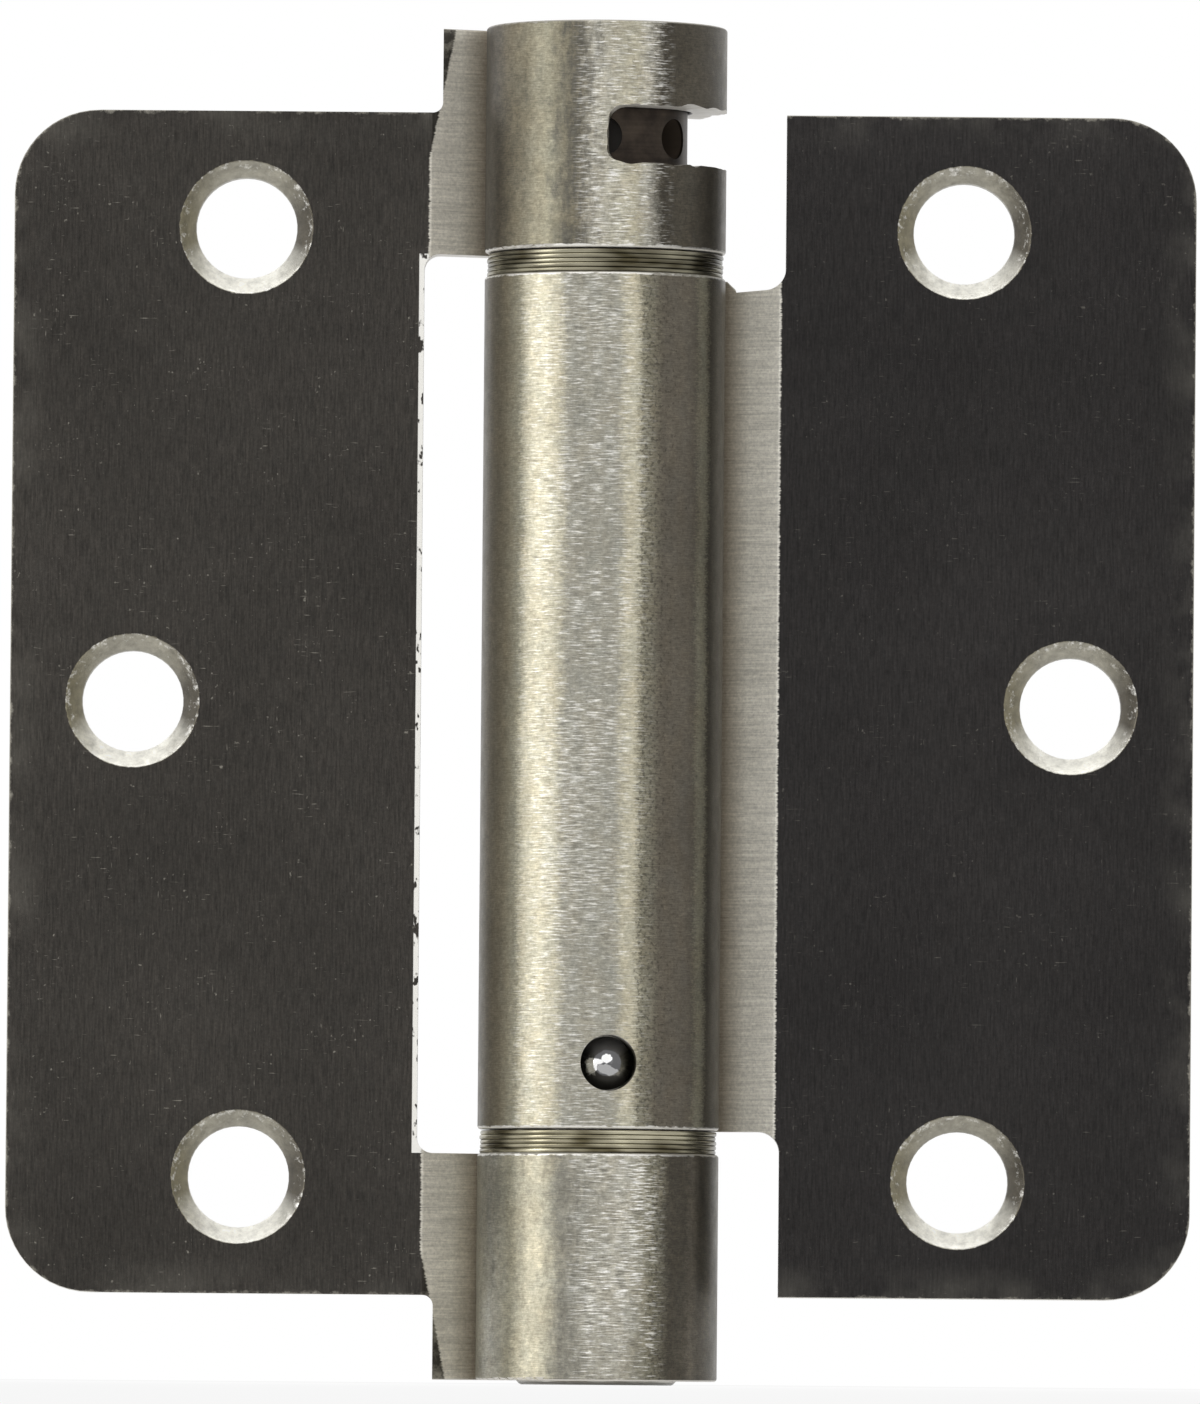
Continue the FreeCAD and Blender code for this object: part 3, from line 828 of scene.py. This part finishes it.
@dataclass(frozen=True)
class PolishedPin:
    """The hardened drive pin's dome: polished steel, with painted dark reflections round its flank and
    painted highlights.

    Attributes:
        name: What the real finish is called.
        flank: The sRGB colour of the painted dark reflection round the flank.
        bright: The sRGB colour of the painted highlights.
        roughness: Roughness of the polished steel.
        fray_size: Size in millimetres of the marks' frayed edges.
        fray: How far the edges fray, as a share of a mark's size.
        fray_depth: How deep the fraying is, in millimetres.
        marks: The painted highlights.
        centre: The dome's place seen from the front, as X and Z.
    """

    centre: tuple[float, float]
    name: str = "hardened steel, darkened and struck bright"
    flank: str = "666667"
    bright: str = "fbfbfa"
    roughness: float = 0.16
    fray_size: float = 0.333
    fray: float = 1.2
    fray_depth: float = 0.02
    marks: tuple[PaintedHighlight, ...] = (
        PaintedHighlight(centre=(0.4, -0.5), half=(1.0, 0.4), turn=-20.0, shine=0.35),
        PaintedHighlight(centre=(-0.75, -0.25), half=(0.48, 0.72), turn=0.0, shine=1.0),
        PaintedHighlight(centre=(-0.3, 0.08), half=(0.5, 0.22), turn=0.0, shine=1.0),
        PaintedHighlight(centre=(0.35, 0.32), half=(0.42, 0.34), turn=0.0, shine=1.0),
    )

    def material(self) -> Material:
        """Makes the Blender material.

        Returns:
            A new material on Object coordinates.
        """
        canvas = Canvas(self.name)
        node = canvas.node
        offset = (self.centre[0], 0.0, self.centre[1])
        local = node("VectorMath", canvas.place, offset, operation="SUBTRACT")
        rough_edge = node("TexNoise", canvas.place, 1 / self.fray_size, 2.0)
        edge = 0.85 + self.fray / 2
        marks = None
        # Each mark is a painted highlight on the dome, frayed at its edge.
        for mark in self.marks:
            middle = (mark.centre[0], 0.0, mark.centre[1])
            moved = node("VectorMath", local, middle, operation="SUBTRACT")
            turn = {"Vector": moved, "Angle": math.radians(mark.turn)}
            turned = node("VectorRotate", named=turn, rotation_type="Y_AXIS")
            scale = (1 / mark.half[0], 0.0, 1 / mark.half[1])
            scaled = node("VectorMath", turned, scale, operation="MULTIPLY")
            away = node("VectorMath", scaled, operation="LENGTH")
            frayed = node("Math", rough_edge, self.fray, away, operation="MULTIPLY_ADD")
            highlit = node("MapRange", frayed, edge, edge + 0.15, mark.shine, 0.0)
            marks = highlit if marks is None else node("Math", marks, highlit, operation="MAXIMUM")
        colour = node("Mix", marks, linear(self.flank), linear(self.bright), data_type="RGBA")
        return canvas.finish(1.0, colour, self.roughness, rough_edge, self.fray_depth)


def add_piece(name: str, shape: BMesh, material: Material) -> Object:
    """Makes a finished bmesh an object at the origin.

    Args:
        name: The piece's name.
        shape: Its bmesh in metres, which is freed.
        material: Its finish.

    Returns:
        The new object.
    """
    mesh = bpy.data.meshes.new(name)
    shape.to_mesh(mesh)
    shape.free()
    mesh.materials.append(material)
    piece = bpy.data.objects.new(name, mesh)
    bpy.context.scene.collection.objects.link(piece)
    LOG.info("%s wears %s", piece.name, material.name)
    return piece


@dataclass(frozen=True)
class UnevenEdges:
    """The barrel's outer edges as the shears and years of use left them. Metal is missing there, never added.

    Attributes:
        radius: The barrel's outer radius.
        lowest: Distance from mid height from which edges are uneven.
        longest: Length of the longest edge that counts, which leaves the rolled seams straight.
        step: Distance between two points of an uneven edge.
        ends_at: Distances from mid height between which the window lies.
        rim_depth: How deep the ends of the knuckles are worn.
        window_depth: How deep the window's edge is torn.
        near: How far off the barrel's radius a point still lies on its outside.
        skin: Cosine of the angle to which a face still counts as that outside, and not as a cut.
        fine_size: Size of the small chips.
        broad_size: Size of the longer dents.
        broad_share: How strong the dents are beside the chips.
        usual: Share of the depth that is missing between chips and dents.
    """

    radius: float = 9.05
    lowest: float = 31.5
    longest: float = 4.0
    step: float = 0.36
    ends_at: tuple[float, float] = (39.5, 45.0)
    rim_depth: float = 0.16
    window_depth: float = 0.28
    near: float = 0.03
    skin: float = 0.9
    fine_size: float = 1.1
    broad_size: float = 5.0
    broad_share: float = 0.6
    usual: float = 0.25

    def wear(self, shape: BMesh, edges: list[BMEdge]) -> None:
        """Cuts the uneven edges into short ones and moves their points into the metal.

        Args:
            shape: The piece's bmesh.
            edges: Its sharp edges.
        """
        points = []
        for edge in edges:
            on_barrel = all(self._on_barrel(vert) for vert in edge.verts)
            if not on_barrel or edge.calc_length() > self.longest * MM:
                continue
            points += edge.verts
            start = edge.verts[0]
            for left in range(math.ceil(edge.calc_length() / (self.step * MM)), 1, -1):
                _, start = bmesh.utils.edge_split(edge, start, 1 / left)
                points.append(start)
        shape.normal_update()
        moves = [(point, self._inward(point) * self._depth(point.co)) for point in dict.fromkeys(points)]
        for point, move in moves:
            moved = point.co + move
            spread = self.radius * MM / moved.xy.length
            point.co = (moved.x * spread, moved.y * spread, moved.z)
        beside = dict.fromkeys(face for point in points for face in point.link_faces)
        bmesh.ops.triangulate(shape, faces=[face for face in beside if len(face.verts) > 4])

    def _on_barrel(self, vert: BMVert) -> bool:
        """Whether a vertex lies on the barrel's outside where its edges are uneven."""
        outside = abs(vert.co.xy.length - self.radius * MM) < self.near * MM
        return outside and abs(vert.co.z) > self.lowest * MM

    def _inward(self, point: BMVert) -> Vector:
        """Finds the direction into the metal from the cut face that ends at a point.

        Args:
            point: A point of an uneven edge.

        Returns:
            The direction, of length 1.
        """
        outward = Vector((point.co.x, point.co.y, 0.0)).normalized()
        cuts = [face.normal for face in point.link_faces if face.normal.dot(outward) < self.skin]
        return -sum(cuts, Vector()).normalized()

    def _depth(self, place: Vector) -> float:
        """Works out how much metal is missing at a place.

        Args:
            place: A point of an uneven edge.

        Returns:
            The depth in metres.
        """
        fine = noise.noise(place / (self.fine_size * MM))
        broad = noise.noise(place / (self.broad_size * MM))
        share = min(max(self.usual + fine + self.broad_share * broad, 0.0), 1.0)
        low, high = self.ends_at
        in_window = low * MM < place.z < high * MM
        return share * (self.window_depth if in_window else self.rim_depth) * MM


@dataclass
class RoundedPiece:
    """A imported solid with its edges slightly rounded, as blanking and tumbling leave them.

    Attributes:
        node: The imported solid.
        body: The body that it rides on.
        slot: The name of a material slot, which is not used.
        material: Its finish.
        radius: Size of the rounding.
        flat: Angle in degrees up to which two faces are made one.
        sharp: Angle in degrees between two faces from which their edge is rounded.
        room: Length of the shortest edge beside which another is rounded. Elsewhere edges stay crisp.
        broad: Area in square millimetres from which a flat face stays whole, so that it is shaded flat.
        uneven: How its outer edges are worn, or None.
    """

    node: str
    body: str
    slot: str
    material: Material
    radius: float = 0.12
    flat: float = 0.3
    sharp: float = 38.0
    room: float = 0.4
    broad: float = 3.0
    uneven: UnevenEdges | None = None

    def build(self, nodes: dict[str, Object]) -> None:
        """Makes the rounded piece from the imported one's own shape.

        Args:
            nodes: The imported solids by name.
        """
        shape = bmesh.new()
        shape.from_mesh(nodes[self.node].data)
        bmesh.ops.remove_doubles(shape, verts=shape.verts, dist=SAME_POINT)
        bmesh.ops.dissolve_limit(
            shape,
            angle_limit=math.radians(self.flat),
            use_dissolve_boundaries=False,
            verts=shape.verts,
            edges=shape.edges,
        )
        if self.uneven:
            self.uneven.wear(shape, self._sharp_edges(shape))
        crowded = {vert for edge in shape.edges if edge.calc_length() < self.room * MM for vert in edge.verts}
        roomy = []
        for edge in self._sharp_edges(shape):
            if crowded.isdisjoint(edge.verts):
                roomy.append(edge)
            else:
                edge.smooth = False
        bmesh.ops.bevel(
            shape,
            geom=roomy,
            offset=self.radius * MM,
            offset_type="OFFSET",
            segments=2,
            profile=0.5,
            affect="EDGES",
            clamp_overlap=True,
            material=-1,
        )
        self._cut_up(shape)
        bmesh.ops.remove_doubles(shape, verts=shape.verts, dist=SAME_POINT)
        bmesh.ops.dissolve_degenerate(shape, edges=shape.edges, dist=SAME_POINT)
        self._cut_up(shape)
        self._drop_folds(shape)
        for face in shape.faces:
            face.smooth = True
        piece = add_piece(f"{self.node}_rounded", shape, self.material)
        flats_first = piece.modifiers.new("flats_first", "WEIGHTED_NORMAL")
        flats_first.mode = "FACE_AREA"
        flats_first.weight = 100
        flats_first.keep_sharp = True
        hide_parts(self.node)
        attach(piece, self.body)

    def _cut_up(self, shape: BMesh) -> None:
        """Cuts the faces with many corners into triangles, but for the broad ones."""
        small = [face for face in shape.faces if face.calc_area() < self.broad * MM * MM]
        bmesh.ops.triangulate(shape, faces=[face for face in small if len(face.verts) > 4])

    def _drop_folds(self, shape: BMesh) -> None:
        """Deletes the faces that lie back to back on each other, which the rounding leaves in tight corners.

        Args:
            shape: The piece's bmesh.
        """
        same = {}
        for face in shape.faces:
            same.setdefault(frozenset(face.verts), []).append(face)
        folds = [face for faces in same.values() if len(faces) > 1 for face in faces]
        bmesh.ops.delete(shape, geom=folds, context="FACES")

    def _sharp_edges(self, shape: BMesh) -> list[BMEdge]:
        """The edges between two faces that turn more than the sharp angle."""
        closed = [edge for edge in shape.edges if len(edge.link_faces) == 2]
        return [edge for edge in closed if edge.calc_face_angle() > math.radians(self.sharp)]


@dataclass
class WasherStack:
    """Thin bearing washers on one plug, each lying a little off the axis, as play lets them.

    Attributes:
        prefix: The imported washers' name without its number.
        body: The body that they ride on.
        material: Their finish.
        count: How many there are.
        bore: Inner radius.
        rim_round: Radius of the rolled-over rim.
        play: How far off the axis a washer may lie.
        share: Share of the play that it lies off.
        turn: Radians from one washer's direction off the axis to the next one's.
        steps: Faces round each washer.
    """

    prefix: str
    body: str
    material: Material
    count: int = 5
    bore: float = 6.25
    rim_round: float = 0.13
    play: float = 0.04
    share: float = 0.9
    turn: float = 2.4
    steps: int = 128

    def build(self) -> None:
        """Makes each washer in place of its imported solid."""
        for number in range(1, self.count + 1):
            node = f"{self.prefix}_{number}"
            piece = add_piece(f"{node}_rounded", self._washer(node, number), self.material)
            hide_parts(node)
            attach(piece, self.body)

    def _washer(self, node: str, number: int) -> BMesh:
        """One washer, spun from its section.

        Args:
            node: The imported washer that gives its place.
            number: Its place in the stack.

        Returns:
            The washer's bmesh in metres.
        """
        low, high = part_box(node)
        rim = high.x - self.play * MM
        bore = self.bore * MM
        shape = bmesh.new()
        corners = [(bore, low.z), (rim, low.z), (rim, high.z), (bore, high.z)]
        section = [shape.verts.new((radius, 0.0, height)) for radius, height in corners]
        edges = [shape.edges.new((a, b)) for a, b in zip(section, section[1:] + section[:1])]
        bmesh.ops.spin(
            shape,
            geom=section + edges,
            cent=(0.0, 0.0, 0.0),
            axis=(0.0, 0.0, 1.0),
            angle=math.tau,
            steps=self.steps,
            use_merge=True,
        )
        rims = []
        for edge in shape.edges:
            start, end = (vert.co for vert in edge.verts)
            if min(start.xy.length, end.xy.length) > rim - SAME_POINT and abs(start.z - end.z) < SAME_POINT:
                rims.append(edge)
        bmesh.ops.bevel(
            shape,
            geom=rims,
            offset=self.rim_round * MM,
            offset_type="OFFSET",
            segments=3,
            profile=0.5,
            affect="EDGES",
            material=-1,
        )
        bmesh.ops.recalc_face_normals(shape, faces=shape.faces)
        aside = Matrix.Rotation(self.turn * number, 3, "Z") @ Vector((self.share * self.play * MM, 0.0, 0.0))
        bmesh.ops.translate(shape, verts=shape.verts, vec=aside)
        for face in shape.faces:
            face.smooth = True
        return shape


def joined(start: BMVert, usable: set[BMEdge] | None = None) -> set[BMVert]:
    """Finds the vertices that edges join to one.

    Args:
        start: The vertex to start from.
        usable: The edges that count, or None for all.

    Returns:
        The vertices, with the first among them.
    """
    found = {start}
    ahead = [start]
    while ahead:
        for edge in ahead.pop().link_edges:
            if usable is not None and edge not in usable:
                continue
            new = set(edge.verts) - found
            found |= new
            ahead.extend(new)
    return found


@dataclass
class TorsionSpring:
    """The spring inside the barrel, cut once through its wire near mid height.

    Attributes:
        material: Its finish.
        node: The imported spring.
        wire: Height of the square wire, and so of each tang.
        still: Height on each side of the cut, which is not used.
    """

    material: Material
    node: str = "torsion_spring"
    wire: float = 2.4
    still: float = 3.0

    def build(self, nodes: dict[str, Object]) -> None:
        """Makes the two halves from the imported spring's own shape.

        Args:
            nodes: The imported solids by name.
        """
        low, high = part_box(self.node)
        middle = (low.z + high.z) / 2
        shape = bmesh.new()
        shape.from_mesh(nodes[self.node].data)
        bmesh.ops.remove_doubles(shape, verts=shape.verts, dist=SAME_POINT)
        self._cut(shape, middle)
        shape.verts.index_update()
        upper = {vert.index for vert in joined(max(shape.verts, key=lambda vert: vert.co.z))}
        tang, still = self.wire * MM, self.still * MM
        for end, is_upper, bodies, start_z, end_z in (
            ("upper", True, ("adjuster", "frame"), high.z - tang, middle + still),
            ("lower", False, ("frame", "door"), middle - still, low.z + tang),
        ):
            half = shape.copy()
            others = [vert for vert in half.verts if (vert.index in upper) != is_upper]
            bmesh.ops.delete(half, geom=others, context="VERTS")
            piece = add_piece(f"{self.node}_{end}_half", half, self.material)
            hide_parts(self.node)
            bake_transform(piece)
        shape.free()

    def _cut(self, shape: BMesh, middle: float) -> None:
        """Parts the wire square across where it passes +X nearest mid height, and closes both ends.

        Args:
            shape: The spring's bmesh.
            middle: The spring's mid height in metres.
        """
        faces = []
        for face in shape.faces:
            centre = face.calc_center_median()
            if centre.x > 0 and abs(centre.z - middle) < self.wire * MM:
                faces.append(face)
        around = dict.fromkeys(part for face in faces for part in (face, *face.edges, *face.verts))
        cut = bmesh.ops.bisect_plane(
            shape, geom=list(around), plane_co=(0.0, 0.0, 0.0), plane_no=(0.0, 1.0, 0.0), dist=ON_PLANE
        )["geom_cut"]
        lines = [item for item in cut if isinstance(item, BMEdge)]
        ends = [vert for line in lines for vert in line.verts]
        nearest = min(ends, key=lambda vert: abs(vert.co.z - middle))
        section = joined(nearest, set(lines))
        bmesh.ops.split_edges(shape, edges=[line for line in lines if line.verts[0] in section])
        bmesh.ops.holes_fill(shape, edges=[edge for edge in shape.edges if edge.is_boundary], sides=0)


@dataclass
class Studio:
    """The camera, the pale floor and the soft lights. Lengths are metres.

    Attributes:
        distance: How far the camera stands from the barrel's axis.
        eye_height: Its height, just above the floor, since the photograph sees the bottom rim level.
        aim_x: Where it looks, beside the axis.
        aim_z: Where it looks, above mid height.
        roll: How far it is turned about its view, in degrees.
        pixels_per_radian: The photograph's scale.
        sensor: The sensor's long side in millimetres.
        floor_size: The floor's side.
        floor_glow: How far the seen floor is lifted to white, which leaves the shadow in it.
        sky_strength: Brightness of the sky as a light, where 1 is white.
    """

    distance: float = 1.3
    eye_height: float = -0.051
    aim_x: float = -0.00012
    aim_z: float = 0.00014
    roll: float = 0.48
    pixels_per_radian: float = 17329.0
    sensor: float = 36.0
    floor_size: float = 8.0
    floor_glow: float = 0.75
    sky_strength: float = 0.7

    def build(self, floor_height: float) -> None:
        """Sets up the whole studio.

        Args:
            floor_height: The floor's height.
        """
        self._camera()
        self._floor(floor_height)
        self._world()
        self._lamp("left_window", azimuth=-62.0, height=0.25, away=0.9, size=(0.3, 1.1), radiance=3.2)
        self._lamp("right_window", azimuth=24.0, height=0.3, away=1.6, size=(0.12, 1.1), radiance=1.2)
        self._lamp("ceiling", azimuth=0.0, height=1.1, away=0.15, size=(1.0, 0.6), radiance=1.4)
        bpy.context.scene.view_settings.view_transform = "Standard"

    def _camera(self) -> None:
        """Sets the camera at the photograph's angle."""
        eye = Vector((0.0, -self.distance, self.eye_height))
        aim = Vector((self.aim_x, 0.0, self.aim_z))
        back = (eye - aim).normalized()
        right = Vector((0.0, 0.0, 1.0)).cross(back).normalized()
        level = Matrix((right, back.cross(right), back)).transposed()
        tilt = Matrix.Rotation(math.radians(self.roll), 3, "Z")
        lens = bpy.data.cameras.new("camera")
        lens.sensor_width = self.sensor
        lens.lens = self.pixels_per_radian / PHOTO_LONG_SIDE * self.sensor
        lens.clip_start = 0.05
        lens.clip_end = 50.0
        camera = bpy.data.objects.new("camera", lens)
        camera.matrix_world = Matrix.Translation(eye) @ (level @ tilt).to_4x4()
        bpy.context.scene.collection.objects.link(camera)
        bpy.context.scene.camera = camera

    def _seen(self, tree: NodeTree) -> Node:
        """Tells the rays that end in the camera, straight, from a reflection or through glass.

        Args:
            tree: The node tree that asks.

        Returns:
            1 for such rays and 0 for others.
        """
        rays = add_node(tree, "LightPath").outputs
        seen = add_node(tree, "Math", rays["Is Camera Ray"], rays["Is Glossy Ray"], operation="MAXIMUM")
        return add_node(tree, "Math", seen, rays["Is Transmission Ray"], operation="MAXIMUM")

    def _floor(self, height: float) -> None:
        """Lays the floor of matt paper, which the eye sees as even white with the hinge's soft shadow.

        Args:
            height: The floor's height.
        """
        made = bpy.data.materials.new("matt white paper")
        made.use_nodes = True
        made.node_tree.nodes.clear()
        node = partial(add_node, made.node_tree)
        share = node("Math", self._seen(made.node_tree), self.floor_glow, operation="MULTIPLY")
        paper = node("BsdfDiffuse", linear("f2f2f2"))
        glow = node("Emission", linear("ffffff"), 1.0)
        node("OutputMaterial", node("MixShader", share, paper, glow))
        shape = bmesh.new()
        bmesh.ops.create_grid(shape, x_segments=1, y_segments=1, size=self.floor_size / 2)
        bmesh.ops.translate(shape, verts=shape.verts, vec=(0.0, 0.0, height))
        add_piece("floor", shape, made)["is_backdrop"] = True

    def _lamp(
        self,
        name: str,
        azimuth: float,
        height: float,
        away: float,
        size: tuple[float, float],
        radiance: float,
    ) -> None:
        """Hangs a soft lamp that faces the hinge.

        Args:
            name: The lamp's name.
            azimuth: Degrees from the camera's side, growing towards +X.
            height: Metres above the hinge's middle.
            away: Metres from the barrel's axis, seen from above.
            size: Width and height of the lamp in metres.
            radiance: Brightness of its face, where 1 is white.
        """
        light = bpy.data.lights.new(name, "AREA")
        light.shape = "RECTANGLE"
        light.size, light.size_y = size
        light.energy = radiance * math.pi * size[0] * size[1]
        turn = math.radians(azimuth)
        spot = Vector((math.sin(turn) * away, -math.cos(turn) * away, height))
        lamp = bpy.data.objects.new(name, light)
        lamp.matrix_world = Matrix.Translation(spot) @ spot.to_track_quat("Z", "Y").to_matrix().to_4x4()
        bpy.context.scene.collection.objects.link(lamp)

    def _world(self) -> None:
        """Sets a soft sky that is white to the camera and in reflections."""
        sky = bpy.data.worlds.new("sky")
        bpy.context.scene.world = sky
        sky.use_nodes = True
        sky.node_tree.nodes.clear()
        node = partial(add_node, sky.node_tree)
        strength = node("MapRange", self._seen(sky.node_tree), 0.0, 1.0, self.sky_strength, 1.0)
        node("OutputWorld", node("Background", linear("ffffff"), strength))


# The last two bands of painted reflection and shade of every knuckle, at the back, and then each knuckle's
# own.
BACK_BANDS: Bands = ((110.0, Tone.OLIVE), (150.0, Tone.GREY))
TOP_KNUCKLE: Bands = (
    (-150.0, Tone.PEWTER), (-84.0, Tone.SHADOW), (-64.0, Tone.UMBER), (-50.0, Tone.OLIVE),
    (-28.0, Tone.PEWTER), (-14.0, Tone.OLIVE), (-5.0, Tone.SILVER), (14.0, Tone.CREAM),
    (20.0, Tone.SILVER), (28.0, Tone.SHADOW), (70.0, Tone.SHADOW),
    *BACK_BANDS,
)
LOW_KNUCKLE: Bands = (
    (-150.0, Tone.PEWTER), (-84.0, Tone.PEWTER), (-62.0, Tone.GREY), (-46.0, Tone.PEWTER),
    (-36.0, Tone.CREAM), (-24.0, Tone.CREAM), (-17.0, Tone.GREY), (12.0, Tone.SILVER),
    (26.0, Tone.PEWTER), (36.0, Tone.SHADOW), (46.0, Tone.SHADOW), (51.0, Tone.UMBER),
    (58.0, Tone.SHADOW),
    *BACK_BANDS,
)
LONG_BARREL: Bands = (
    (-150.0, Tone.PEWTER), (-84.0, Tone.UMBER), (-54.0, Tone.OLIVE), (-44.5, Tone.PEWTER),
    (-39.0, Tone.CREAM), (-21.5, Tone.CREAM), (-17.0, Tone.GREY), (7.0, Tone.GREY),
    (11.0, Tone.CREAM), (15.5, Tone.CREAM), (19.5, Tone.PEWTER), (29.0, Tone.UMBER),
    (49.0, Tone.UMBER), (54.0, Tone.PEWTER), (57.5, Tone.PEWTER), (61.5, Tone.SHADOW),
    (74.0, Tone.SHADOW),
    *BACK_BANDS,
)


def main() -> None:
    """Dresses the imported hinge, piece by piece, in its studio."""
    logging.basicConfig(level=logging.INFO, format="%(message)s")
    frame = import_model()
    packed_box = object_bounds()
    nodes = frame["nodes"]
    # Both leaves are the same nickel; their different plate, strip and band colours are painted reflections
    # and shade.
    frame_nickel = RolledNickel(
        "satin nickel plated sheet, frame leaf",
        plate="3a3733",
        strip="d6d1c4",
        top_bands=TOP_KNUCKLE,
        low_bands=LOW_KNUCKLE,
        rim=33.8,
        soiled=0.8,
        flecked=0.5,
        glint_strength=1.0,
        lit_middle=9.0,
        lit_half=20.0,
        flare=1.9,
        burr=0.35,
        pits_at=26.0,
    )
    door_nickel = RolledNickel(
        "satin nickel plated sheet, door leaf",
        plate="2b2928",
        strip="ebe7db",
        top_bands=LONG_BARREL,
        low_bands=LONG_BARREL,
        rim=32.0,
        soiled=0.12,
        flecked=0.2,
        glint_strength=0.75,
        lit_middle=-11.0,
        lit_half=29.0,
    )
    # The adjuster shows nearly black in the window, the pivot plug's worn end pale, the wound wire bluish.
    oiled_steel = PlainSteel(
        "turned steel, oiled", light="3f372f", dark="29231e", roughness=0.42, inside="4a4138"
    )
    worn_steel = PlainSteel(
        "turned steel, worn bright", light="d6d3ca", dark="8c887d", roughness=0.35, inside="d6d3ca"
    )
    spring_steel = PlainSteel("oil tempered spring steel", light="3a3a3d", dark="222225", roughness=0.35)
    low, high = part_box("anchor_pin")
    # The pin's dome gets painted dark reflections round its flank and painted highlights.
    highlit_steel = PolishedPin(centre=((low.x + high.x) / 2 / MM, (low.z + high.z) / 2 / MM))
    rounded = (
        RoundedPiece("frame_leaf", "frame", "leaf_steel", frame_nickel.material(), uneven=UnevenEdges()),
        RoundedPiece("door_leaf", "door", "leaf_steel", door_nickel.material(), uneven=UnevenEdges()),
        RoundedPiece("tension_adjuster", "adjuster", "plug_steel", oiled_steel.material()),
        RoundedPiece("pivot_plug", "door", "plug_steel", worn_steel.material()),
        RoundedPiece("anchor_pin", "door", "pin_steel", highlit_steel.material()),
    )
    for piece in rounded:
        piece.build(nodes)
    bronze = RolledBronze().material()
    WasherStack("upper_washer", "door", bronze).build()
    WasherStack("lower_washer", "frame", bronze).build()
    TorsionSpring(spring_steel.material()).build(nodes)
    Studio().build(packed_box[0].z)


if __name__ == "__main__":
    main()
